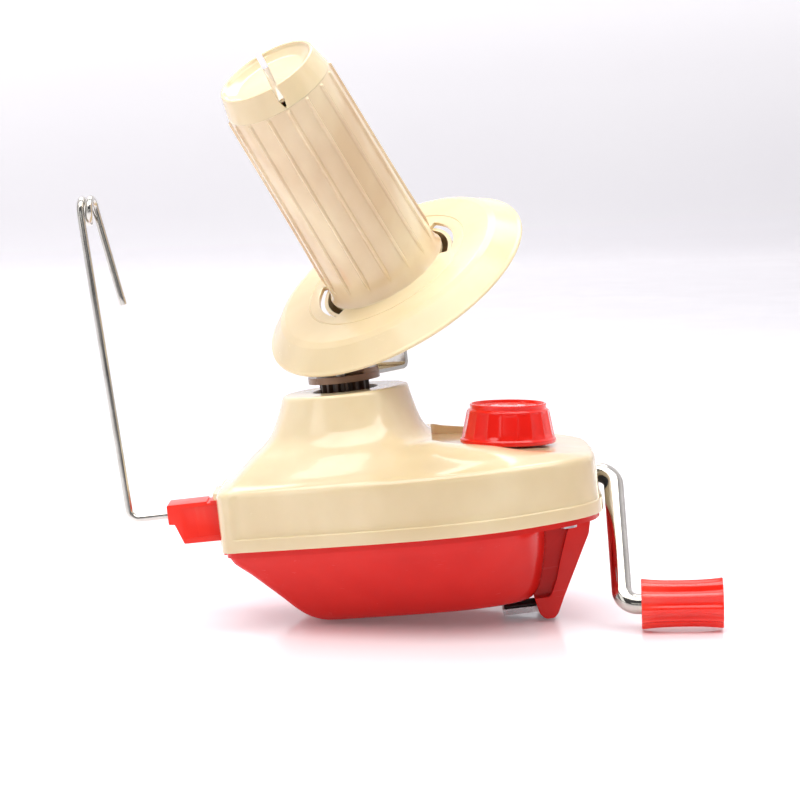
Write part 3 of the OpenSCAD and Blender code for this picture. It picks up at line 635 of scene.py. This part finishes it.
# lip over the yarn guide
lip = obj("lip", *prism(rp([(-57.0, -13.6, 2.6), (-50.5, -14.6, 0.3), (-50.5, 14.6, 0.3), (-57.0, 13.6, 2.6)], 1, 8), 52.9, 55.5))
bevel(lip, 1.1, 5, 40)
boolean(cover, lip, "UNION")
piece(cover, cream, "housing", "upper_cover", 30)

# ------------------------------------------------------------------ tub with its leg
tub_half = [[-53, 0], [-52.96, 6], [-52.8, 13], [-52.4, 23.4], [-51.2, 27.8], [-47.4, 30.2], [-33, 35.4], [-13, 42.4], [6, 48.6],
            [24, 52.6], [40, 53.4], [54, 50.6], [64, 44.6], [70, 36], [72.2, 25], [72.8, 13], [72.96, 6.5], [73, 0]]
tl = loop(tub_half, 8)
lv = [[0, -15, 62.6, 0.5], [0.5, -18.6, 64.6, 0.53], [2, -23, 66.6, 0.565], [5, -27.6, 68.8, 0.61], [12, -34.5, 70.6, 0.71],
      [23, -45.4, 72.6, 0.87], [30.5, -52.6, 73, 0.985], [33.5, -53, 73, 1]]
lx, rx, wf = (PC([[q[0], q[i]] for q in lv]) for i in (1, 2, 3))


def tub_ring(z, g=0.0, dz=0.0):
    p = tl * (1 + g / np.linalg.norm(tl, axis=1))[:, None]
    f = (tl[:, 0] + 53) / 126
    x = lx(z) + f * (rx(z) - lx(z))
    y = tl[:, 1] * wf(z)
    q = np.stack([x, y], axis=1)
    if g:
        c = np.array([20.0, 0.0])
        d = q - c
        q = c + d * (1 + g / np.linalg.norm(d, axis=1))[:, None]
    return np.stack([q[:, 0], q[:, 1], np.full(len(tl), z + dz)], axis=1)


zz = [0.0, 0.06, 0.15, 0.3, 0.5, 0.8, 1.2, 1.7, 2.3, 3, 4, 5, 6.5, 8, 10, 12, 14.5, 17, 20, 23, 26, 28.5, 30.5, 31.8, 33.4]
rows = [tub_ring(0.0, -4.0)] + [tub_ring(z) for z in zz] + [tub_ring(33.4, -2.3)] + \
       [tub_ring(z, -2.3) for z in (28, 20, 12, 6, 3.5)] + [tub_ring(3.2, -6)]
V, F = grid(np.array(rows), cap0=True, cap1=True)
tub = obj("tub_shell", V, F)
# plate that the cover stands on
pl = loop(cover_half, 6)
pl = pl * (1 - 0.6 / np.linalg.norm(pl, axis=1))[:, None]
plate = obj("plate", *prism([tuple(p) for p in pl], 31.3, 33.5))
boolean(tub, plate, "UNION")
# leg that bears on the table edge
leg_poly = rp([(64, 31.6, 0), (91, 31.6, 0), (89.3, 24, 8), (76.9, 0, 12), (74.0, -6.2, 4), (72.3, -8, 2.6), (68.6, -8, 2.6),
               (66.6, -5.6, 3), (64, 6, 0)], 1, 7)
V, F = prism(leg_poly, -4, 22)
leg = obj("leg", V, F, R("x", 90))
bevel(leg, 0.7, 4, 50)
# hollows beside the leg
for y0, y1 in ((-25.0, -17.6), (-0.2, 6.0)):
    hp = rp([(58.0, 31.3, 0.2), (85.2, 31.3, 3), (81.0, 26.0, 7), (77.4, 16.0, 6), (74.6, 7.0, 6), (71.6, 0.6, 2), (58.0, 0.6, 0.2)], 1, 6)
    hx = np.array(hp)
    V, F = prism(hp, -y1, -y0)
    boolean(leg, obj("hollow", V, F, R("x", 90)))
boolean(tub, leg, "UNION")
# channel for the jaw
V, F = prism([(12.6, -8.5), (17.4, -8.5), (17.4, 8.5), (12.6, 8.5)], -72, -12)
boolean(tub, obj("ch1", V, F, M_clamp))
V, F = prism([(60, -17.5), (73.2, -17.5), (73.2, -0.5), (60, -0.5)], -10, -0.001)
boolean(tub, obj("ch2", V, F))
for x, y in ((-33, 9), (-33, -9)):
    V, F = prism([(x + 3.9 * math.cos(a), y + 3.9 * math.sin(a)) for a in np.linspace(0, 2 * math.pi, 40, endpoint=False)], -1, 22)
    boolean(tub, obj("well", V, F))
    # the pillar that the screw's head pulls against
    pil = obj("pillar", *lathe([(1.4, 22), (3.9, 22), (3.9, 18), (5.0, 18), (5.0, 33.2), (1.4, 33.2)], 48), M=T(x, y, 0))
    boolean(tub, pil, "UNION")
# tab under the yarn guide
tab = obj("tab", *prism(rp([(-55.8, -6), (-51.6, -6), (-51.6, 6), (-55.8, 6)], 0.8, 4), 29.6, 34.8))
bevel(tab, 0.4, 3, 50)
boolean(tub, tab, "UNION")
piece(tub, red, "housing", "lower_housing", 30)

# ------------------------------------------------------------------ cone
prof = rp([(7, -57.0, 0), (34.9, -57.0, 0.15), (35.15, -57.28, 0.1), (35.45, -57.28, 0.1), (35.7, -57.0, 0.15), (46.6, -57.0, 2.5),
           (49.4, -58.1, 1.6), (56.3, -64.3, 1.0), (57.5, -64.9, 0.5), (57.6, -65.9, 0.3), (56.8, -66.0, 0.2), (48.4, -59.3, 1.5),
           (46.4, -58.6, 1.5), (7, -58.6, 0)], 0.3, 5)
flange = obj("flange_dish", *lathe(prof, 288), M=M_cone)
SLIT = 49.7
WIN = SLIT + 90
for s in (0, 180):
    pol = []
    for a in np.linspace(-31, 31, 40):
        t = math.radians(WIN + s + a)
        pol.append((30.8 * math.cos(t), 30.8 * math.sin(t), 0))
    for a in np.linspace(30, -30, 36):
        t = math.radians(WIN + s + a)
        pol.append((25.2 * math.cos(t), 25.2 * math.sin(t), 0))
    pol[0] = (*pol[0][:2], 0.9)
    pol[39] = (*pol[39][:2], 0.9)
    V, F = prism([p[:2] for p in rp(pol, 0, 4)], -62, -50)
    boolean(flange, obj("win", V, F, M_cone))
bevel(flange, 0.22, 2, 50)
piece(flange, cream_cone, "cone", "flange_disc", 28)

TOPS = 32.2
sl = PC([[-57, 25.5], [-56.4, 25.15], [-55.4, 24.7], [-53.5, 24.25], [-51, 23.98], [TOPS, 22.5]])
offs = np.array([-11.25, -8.6, -5.8, -3.8, -2.7, -2.2, -1.85, -1.55, -1.25, -0.95, -0.65, -0.32, 0, 0.32, 0.65, 0.95, 1.25, 1.55,
                 1.85, 2.2, 2.7, 3.8, 5.8, 8.6])
ths, dth = [], []
for i in range(16):
    for o_ in offs:
        ths.append(math.radians(SLIT + 22.5 * i + o_))
        dth.append(math.radians(o_))
ths, dth = np.array(ths), np.array(dth)
zs = np.concatenate([[-57, -56.7, -56.4, -55.9, -55.4, -54.6, -53.8], np.linspace(-53, -44, 19), np.linspace(-42, 28, 30),
                     [29.5, 30.2, 30.7, 31.1, 31.4, 31.7, 31.95, 32.2]])
rows = []
for z in zs:
    r0 = float(sl(z))
    k = float(smooth(-53.2, -45.5, z)) * (1 - float(smooth(31.0, 31.9, z)))
    w = 0.34 + 0.56 * float(smooth(-53.2, -46.5, z))
    d = np.abs(dth * r0) / w
    h = 0.92 * k * np.where(d < 1, np.maximum(1 - d ** 2, 0.0) ** 0.85, 0.0)
    r = r0 + h
    rows.append(np.stack([r * np.cos(ths), r * np.sin(ths), np.full_like(r, z)], axis=1))
for z, r in [(32.2, 20.4), (0, 21.4), (-57, 22.6)]:
    rows.append(np.stack([r * np.cos(ths), r * np.sin(ths), np.full_like(ths, z)], axis=1))
V, F = grid(np.array(rows), cu=True)
sleeve = obj("ribbed_sleeve", V, F, M_cone)
piece(sleeve, cream_sleeve, "cone", "cone_sleeve", 50)

prof = rp([(0, 38.9, 0), (14.6, 38.9, 4.5), (18.3, 40.6, 2.0), (19.35, 42.0, 0.5), (20.4, 42.0, 0.55), (22.62, 32.6, 0.25),
           (22.55, 32.25, 0.15), (20.5, 32.25, 0.2), (19.4, 37.0, 1.0), (0, 37.0, 0)], 0.3, 7)
cap = obj("cap_dish", *lathe(prof, 224), M=M_cone)
hw = 1.25
slit_poly = [(-hw, 44), (-hw, 36.2), (-0.35, 33.0), (0, 32.7), (0.35, 33.0), (hw, 36.2), (hw, 44)]
V, F = prism(slit_poly, -30, 30)
boolean(cap, obj("slit", V, F, M_cone @ R("z", SLIT + 90) @ R("x", 90)))
web = obj("cap_web", *lathe([(0, 36.0), (19.9, 36.0), (19.9, 34.6), (0, 34.6)], 96), M=M_cone)
boolean(cap, web, "UNION")
bevel(cap, 0.28, 3, 50)
piece(cap, cream, "cone", "cone_cap", 28)

# ------------------------------------------------------------------ knob
KH = 16.4
prof = [(0, KH - 4.4, 0), (13.2, KH - 4.4, 1.2), (16.9, 1.0, 0.3), (18.7, 0.8, 0.3), (19.1, 1.2, 0.25), (19.1, 2.4, 0.35),
        (18.5, 3.05, 0.25), (16.35, 13.7, 0.6), (15.6, 14.35, 0.25), (15.15, 14.5, 0.15), (15.32, 16.1, 0.3), (15.0, 16.4, 0.2),
        (14.35, 16.4, 0.25), (14.0, 14.2, 0.3), (0, 14.2, 0)]
pr = rp(prof, 0.3, 4, closed=False)
# finer steps up the fluted side
fine = []
for a, b in zip(pr[:-1], pr[1:]):
    n = 14 if abs(a[1] - b[1]) > 5 and a[0] > 15 and b[0] > 15 else 1
    for k in range(n):
        fine.append((a[0] + (b[0] - a[0]) * k / n, a[1] + (b[1] - a[1]) * k / n))
fine.append(pr[-1])
NF = 18
th = np.linspace(0, 2 * math.pi, NF * 16, endpoint=False)
u = (th * NF / (2 * math.pi)) % 1.0
scal = (1 - np.abs(2 * u - 1) ** 2.2)
rows = []
side = False
for r, z in fine:
    d = 0.0
    if r > 15.5 and 3.0 < z < 14.3:
        d = 0.42 * float(smooth(3.0, 4.6, z)) * (1 - float(smooth(12.9, 14.25, z)))
    rr = np.full_like(th, r) - d * scal if r > 1e-6 else np.zeros_like(th)
    rows.append(np.stack([rr * np.cos(th), rr * np.sin(th), np.full_like(th, z)], axis=1))
knob = obj("knob_body", *grid(np.array(rows)), M=M_clamp)
piece(knob, red_gloss, "knob", "clamp_knob", 34)
prof = rp([(0, 14.25, 0), (12.6, 14.25, 0.1), (12.6, 15.1, 0.3), (12.0, 15.45, 0.3), (10.9, 15.45, 0.4), (10.4, 15.0, 0.4),
           (7.4, 15.0, 0.4), (6.9, 15.5, 0.5), (4.2, 15.65, 1.0), (3.6, 15.3, 0.5), (0, 15.3, 0)], 0.3, 4, closed=False)
kd = obj("knob_insert", *lathe(prof, 144, closed=False), M=M_clamp)
piece(kd, red_gloss, "knob", "knob_disc", 34)

# clamp screw with its thread
n = 40
th = np.linspace(0, 2 * math.pi, n, endpoint=False)
rows = []
for z in np.arange(-55, 9.41, 0.28):
    ph = (z / 4.0 - th / (2 * math.pi)) % 1.0
    tri = np.clip((np.abs(2 * ph - 1) - 0.28) / 0.44, 0, 1)
    on = float(smooth(-55.0, -53.6, z)) * (1 - float(smooth(-12, -10.6, z)))
    r = 3.0 - 0.55 * tri * on - (0.5 if z < -54.6 else 0.0)
    rows.append(np.stack([r * np.cos(th), r * np.sin(th), np.full_like(th, z)], axis=1))
scr = obj("threaded_screw", *grid(np.array(rows), cap0=True, cap1=True), M=M_clamp)
piece(scr, zinc, "knob", "clamp_screw", 45)

# ------------------------------------------------------------------ crank
a_top, a_foot, bend = 102.6, 98.4, 6.6
lean = math.atan2(a_top - a_foot, ARM_R)
acut = bend * math.tan((math.pi / 2 + lean) / 2)
path = [(12, 0, 0), (40, 0, 0), (70, 0, 0), (90, 0, 0)]
for i in range(15):
    t = math.pi / 2 - (math.pi / 2 + lean) * i / 14
    path.append((a_top - acut + bend * math.cos(t), 0, bend * (math.sin(t) - 1)))
q0 = np.array(path[-1])
SPLAY = math.radians(6.4)
turn = math.pi / 2 + lean - SPLAY
fcut = bend * math.tan(turn / 2)
fcx = a_foot + fcut * math.cos(SPLAY) + bend * math.sin(SPLAY)
fcz = -ARM_R - fcut * math.sin(SPLAY) + bend * math.cos(SPLAY)
arc2 = []
for i in range(15):
    t = -math.pi - lean + turn * i / 14
    arc2.append((fcx + bend * math.cos(t), 0, fcz + bend * math.sin(t)))
q1 = np.array(arc2[0])
for k in range(1, 12):
    path.append(tuple(q0 + (q1 - q0) * k / 12))
path += arc2
for k in (14, 24, 34.4):
    path.append((a_foot + k * math.cos(SPLAY), 0, -ARM_R - k * math.sin(SPLAY)))
V, F = sweep(path, 4.0, 56, (0, 1, 0), 0.5)
rod = obj("crank_rod", V, F, M_crank)
piece(rod, chrome, "crank", "crank_arm", 40)

# grip: twelve lobes, a soft waist, flat ends with a recess for the retainer
GR, G0, G1 = 10.2, 7.2, 38.8
th = np.linspace(0, 2 * math.pi, 12 * 20, endpoint=False)
u = (th * 12 / (2 * math.pi)) % 1.0
fl = np.abs(np.cos(math.pi * (u))) ** 1.0
lobe = 1 - fl ** 1.3
rows = []
zz_ = [G0, G0 + 0.08, G0 + 0.25, G0 + 0.5] + list(np.linspace(G0 + 1.2, G1 - 1.2, 30)) + [G1 - 0.5, G1 - 0.25, G1 - 0.08, G1]
inset = {0: 0.45, 1: 0.22, 2: 0.06, 3: 0.0}
for i, z in enumerate(zz_):
    k = min(i, len(zz_) - 1 - i)
    c = (z - (G0 + G1) / 2) / ((G1 - G0) / 2)
    waist = 0.85 * max(0.0, 1 - abs(c) ** 2.6)
    r = GR - waist - inset.get(k, 0.0) - 1.05 * (1 - lobe) * (0.75 + 0.25 * min(1, k / 4))
    rows.append(np.stack([r * np.cos(th), r * np.sin(th), np.full_like(r, z)], axis=1))
for r, z in [(6.9, G1), (6.6, G1 - 0.3), (6.6, G1 - 6.5), (4.1, G1 - 6.5), (4.1, G0 + 0.3), (4.4, G0)]:
    rows.append(np.stack([r * np.cos(th), r * np.sin(th), np.full_like(th, z)], axis=1))
V, F = grid(np.array(rows), cu=True)
grip = obj("grip_sleeve", V, F, M_crank @ T(a_foot, 0, -ARM_R) @ R("y", 96.4))
piece(grip, red_gloss, "grip", "crank_grip", 40)

# ------------------------------------------------------------------ yarn guide
arm_poly = rp([(-76, 52.4, 0.5), (-76, 44.7, 0.5), (-73.6, 44.4, 0.4), (-70.6, 36.4, 0.5), (-46, 36, 0.3), (-46, 52.3, 0.5)], 0.5, 4)
V, F = prism(arm_poly, -9, 9)
garm = obj("guide_body", V, F, R("x", 90))
keep = join(prism([(-90, -9), (-55.2, -9), (-55.2, 9), (-90, 9)], 30, 60))
k1 = obj("k1", *keep)
k2 = obj("k2", *prism([(-55.2 + 9 * math.cos(a), 9 * math.sin(a)) for a in np.linspace(0, 2 * math.pi, 96, endpoint=False)], 30, 60))
boolean(k1, k2, "UNION")
boolean(garm, k1, "INTERSECT")
# shallow hollow in the front and back faces, and the notch on top
for s in (-1, 1):
    o_ = obj("dish", *prism([(x, y) for x, y in [(62 * math.cos(a) * 1.0, 62 * math.sin(a)) for a in
                                                 np.linspace(0, 2 * math.pi, 260, endpoint=False)]], 38.4, 50.6), M=T(-63, s * (9 + 61.55), 0))
    boolean(garm, o_)
V, F = prism(rp([(-59.9, -10), (-58.5, -10), (-58.5, 10), (-59.9, 10)], 0.3, 3), 51.6, 54)
boolean(garm, obj("notch", V, F))
V, F = prism([(1.52 * math.cos(a), 1.52 * math.sin(a)) for a in np.linspace(0, 2 * math.pi, 32, endpoint=False)], -80, -64)
boolean(garm, obj("sock", V, F, T(0, 0, 47.6) @ R("y", 90)))
V, F = prism([(-55.2 + 1.85 * math.cos(a), 1.85 * math.sin(a)) for a in np.linspace(0, 2 * math.pi, 40, endpoint=False)], 30, 60)
boolean(garm, obj("pin", V, F))
bevel(garm, 0.35, 3, 50)
piece(garm, red_arm, "guide", "guide_arm", 34)

eye_r, eye_z, wd = 4.75, 178.4, 3.0
eye_cz = eye_z - wd / 2 - eye_r
pts = [(-64.5, 0, 47.6), (-74, 0, 47.6), (-80, 0, 47.6), (-86, 0, 47.6)]
pts += [(-88 - 4 * math.sin(math.radians(a)), 0, 51.6 - 4 * math.cos(math.radians(a))) for a in range(6, 84, 6)]
pts += [(-91.95, 0, 52.6)]
for k in range(1, 14):
    t = k / 14
    pts.append((-91.95 + (-95.2 + 91.95) * t, 0, 52.6 + (138 - 52.6) * t))
for k in range(0, 5):
    t = k / 5
    pts.append((-95.2 - 1.1 * t, 0, 138 + (eye_cz - 4 - 138) * t))
pts.append((-96.3, 0.0, eye_cz - 4))
pts += [(-96.5 + 3.5 * a / 360, eye_r - eye_r * math.cos(math.radians(a)), eye_cz + eye_r * math.sin(math.radians(a)))
        for a in range(0, 541, 9)]
e0, e1 = np.array((-90.6, 2 * eye_r, eye_cz - 4)), np.array((-85, 2 * eye_r, 133))
for k in range(0, 10):
    pts.append(tuple(e0 + (e1 - e0) * k / 9))
# ease the corners of the centre line
P = np.array(pts, float)
for _ in range(4):
    Q = P.copy()
    Q[1:-1] = 0.25 * P[:-2] + 0.5 * P[1:-1] + 0.25 * P[2:]
    near = (P[:, 2] < 60) & (P[:, 2] > 46)
    P[1:-1] = np.where(near[1:-1, None], P[1:-1], Q[1:-1])
V, F = sweep(P, wd / 2, 28, (0, 1, 0), 0.3)
wire = obj("guide_rod", V, F)
piece(wire, wire_m, "guide", "guide_wire", 40)

# ------------------------------------------------------------------ rotor, gears, strap, clamp iron
refined("spindle_bracket", "strap", strap_m, "rotor", 0.32, 3, 40)
refined("rotor_disc", "rotor_plate", brown, "rotor", 0.35, 3, 45)
refined("rotor_cap", "rotor_lid", brown, "rotor", 0.3, 3, 45)
refined("spindle_pinion", "pinion", brown_dark, "rotor", 0.16, 2, 40)
refined("clamp_jaw", "jaw_iron", zinc, "jaw", 0.3, 3, 45)
refined("jaw_nut", "nut", zinc, "jaw", 0.3, 2, 45)
refined("jaw_pad", "pad", rubber, "jaw", 0.5, 3, 45)
refined("ring_gear", "bevel_ring", cream_cone, "cone", 0.18, 2, 45)
refined("sun_gear", "bevel_sun", brown, "housing", 0.16, 2, 45)

mats = {"bearing_block": cream, "guide_pivot_pin": cream, "drive_gear": brown, "crank_bush": nylon, "tilt_axle": chrome,
        "gear_pin": chrome}
for name, o in NODES.items():
    mt = mats.get(name, zinc)
    for s_ in o.material_slots:
        s_.material = mt
    if not o.material_slots:
        o.data.materials.append(mt)

# ------------------------------------------------------------------ floor, backdrop, light
nrm = Vector((0.0896, -0.045, 1.0)).normalized()
ux = Vector((nrm.z, 0, -nrm.x)).normalized()
uy = nrm.cross(ux).normalized()
base = Vector((-0.0148, 0, -0.00054)) - nrm * 0.0002
prof = [(-3.0, 0.0)] + [(-2.0 + 0.3 * k, 0.0) for k in range(0, 12)]
for k in range(0, 17):
    a = math.pi / 2 * k / 16
    prof.append((1.5 + 0.6 * math.sin(a), 0.6 * (1 - math.cos(a))))
prof.append((2.1, 3.0))
V, F = [], []
xs = np.linspace(-3, 3, 25)
for y, h in prof:
    for x in xs:
        p = base + ux * float(x) + uy * y + nrm * h
        V.append(tuple(p))
k = len(xs)
for i in range(len(prof) - 1):
    for j in range(k - 1):
        F.append((i * k + j, i * k + j + 1, (i + 1) * k + j + 1, (i + 1) * k + j))
me = bpy.data.meshes.new("floor")
me.from_pydata(V, [], F)
floor = bpy.data.objects.new("floor", me)
sc.collection.objects.link(floor)
me.polygons.foreach_set("use_smooth", [True] * len(me.polygons))
mt, nt, b = new_mat("floor_white")
tc = add(nt, "ShaderNodeTexCoord")
nn = noise(nt, tc.outputs["Object"], 3.0, 3)
nt.links.new(ramp(nt, nn, [(0.3, (0.90, 0.885, 0.93)), (0.7, (0.93, 0.92, 0.955))]), b.inputs["Base Color"])
nt.links.new(mrange(nt, noise(nt, tc.outputs["Object"], 12, 4), 0.3, 0.7, 0.10, 0.17), b.inputs["Roughness"])
b.inputs["Specular IOR Level"].default_value = 0.3
b.inputs["Emission Color"].default_value = (1.0, 0.975, 1.0, 1)
sp = add(nt, "ShaderNodeSeparateXYZ")
nt.links.new(tc.outputs["Object"], sp.inputs[0])
nt.links.new(mrange(nt, sp.outputs["Z"], 0.0, 0.35, 0.08, 0.65), b.inputs["Emission Strength"])
me.materials.append(mt)

w = bpy.data.worlds.new("w")
sc.world = w
w.use_nodes = True
wt = w.node_tree
bg = wt.nodes["Background"]
tcw = wt.nodes.new("ShaderNodeTexCoord")
sx = wt.nodes.new("ShaderNodeSeparateXYZ")
wt.links.new(tcw.outputs["Generated"], sx.inputs[0])
mr = wt.nodes.new("ShaderNodeMapRange")
mr.inputs[1].default_value = -0.45
mr.inputs[2].default_value = 0.35
mr.inputs[3].default_value = 0.10
mr.inputs[4].default_value = 1.0
wt.links.new(sx.outputs["Y"], mr.inputs[0])
wt.links.new(mr.outputs[0], bg.inputs["Strength"])
bg.inputs["Color"].default_value = (0.97, 0.955, 1.0, 1)


def area(name, loc, aim, size, power, col=(1, 1, 1), sy=None, spread=180):
    l = bpy.data.lights.new(name, "AREA")
    l.shape = "RECTANGLE"
    l.size = size
    l.size_y = sy or size
    l.energy = power
    l.color = col
    l.spread = math.radians(spread)
    o = bpy.data.objects.new(name, l)
    sc.collection.objects.link(o)
    d = (Vector(aim) - Vector(loc)).normalized()
    o.rotation_mode = "QUATERNION"
    o.rotation_quaternion = d.to_track_quat("-Z", "Y")
    o.location = loc
    return o


area("key_top", (0.12, -0.40, 1.05), (0.04, 0.0, 0.06), 1.75, 15.0, (1.0, 0.985, 0.96), 0.75)
area("side_left", (-0.95, -0.75, 0.50), (0.0, 0, 0.09), 0.42, 1.5, (1, 1, 1), 0.8)
area("side_right", (1.05, -0.55, 0.40), (0.05, 0, 0.08), 0.3, 0.6, (1, 1, 1), 0.8)
area("front_low", (0.05, -1.5, 0.32), (0.02, 0, 0.07), 1.2, 0.8, (1, 0.99, 0.98), 0.3)
area("back_top", (0.0, 0.45, 0.95), (0.02, 0.02, 0.05), 0.9, 4.6, (1, 1, 1), 0.45)

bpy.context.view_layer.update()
